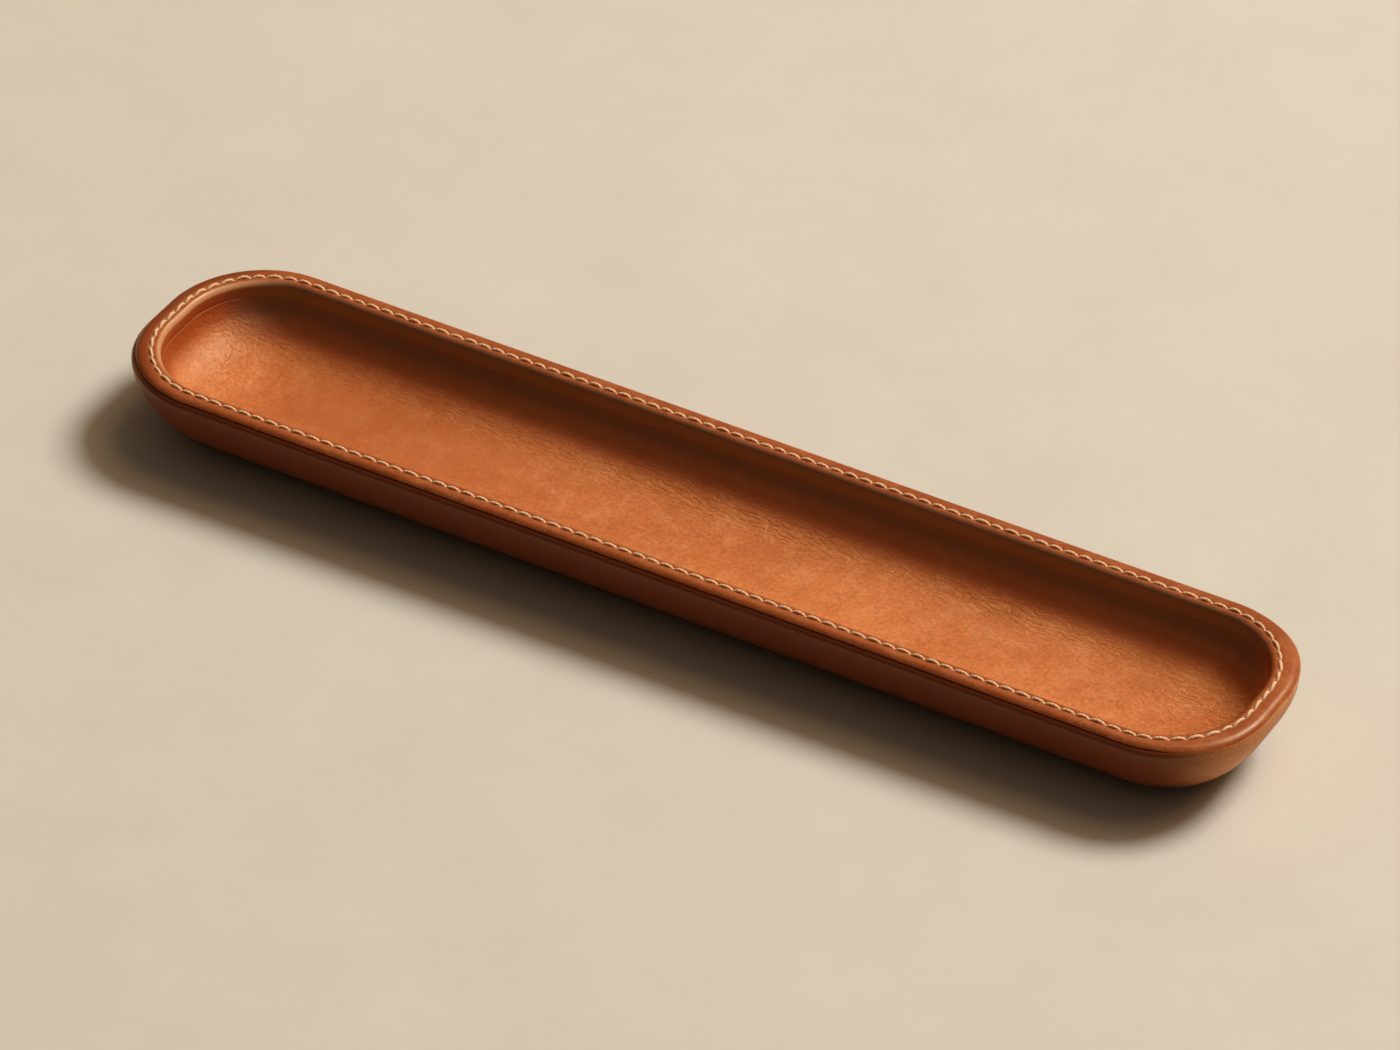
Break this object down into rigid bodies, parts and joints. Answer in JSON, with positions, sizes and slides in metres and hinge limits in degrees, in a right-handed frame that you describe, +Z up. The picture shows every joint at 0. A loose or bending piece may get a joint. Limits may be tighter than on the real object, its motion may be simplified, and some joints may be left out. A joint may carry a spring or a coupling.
{
  "type": "pen tray",
  "caption": "Long shallow desk tray for pens: moulded leather over a fibre core, with rounded ends, a hollow trough, a bound and stitched rim and a flat base.",
  "frame": {"origin": "centre of the tray's base on the surface that it stands on", "axes": "+X along the tray's length, +Y across it, +Z up out of the trough"},
  "size_m": [0.2602, 0.0518, 0.0204],
  "materials": {
    "wall_leather": "smooth vegetable-tanned leather, tan, waxed",
    "rim_leather": "burnished vegetable-tanned leather, tan",
    "liner_leather": "fine-grained vegetable-tanned leather, light tan",
    "core_fibre": "moulded fibre board, uncoated",
    "thread": "waxed twisted thread, cream",
    "sole_suede": "suede, dark brown"
  },
  "bodies": {
    "root": {"outer_shell": "wall_leather", "rim_binding": "rim_leather", "inner_liner": "liner_leather", "fibre_core": "core_fibre", "needle_thread": "thread", "bobbin_thread": "thread", "base_sole": "sole_suede"}
  },
  "joints": []
}
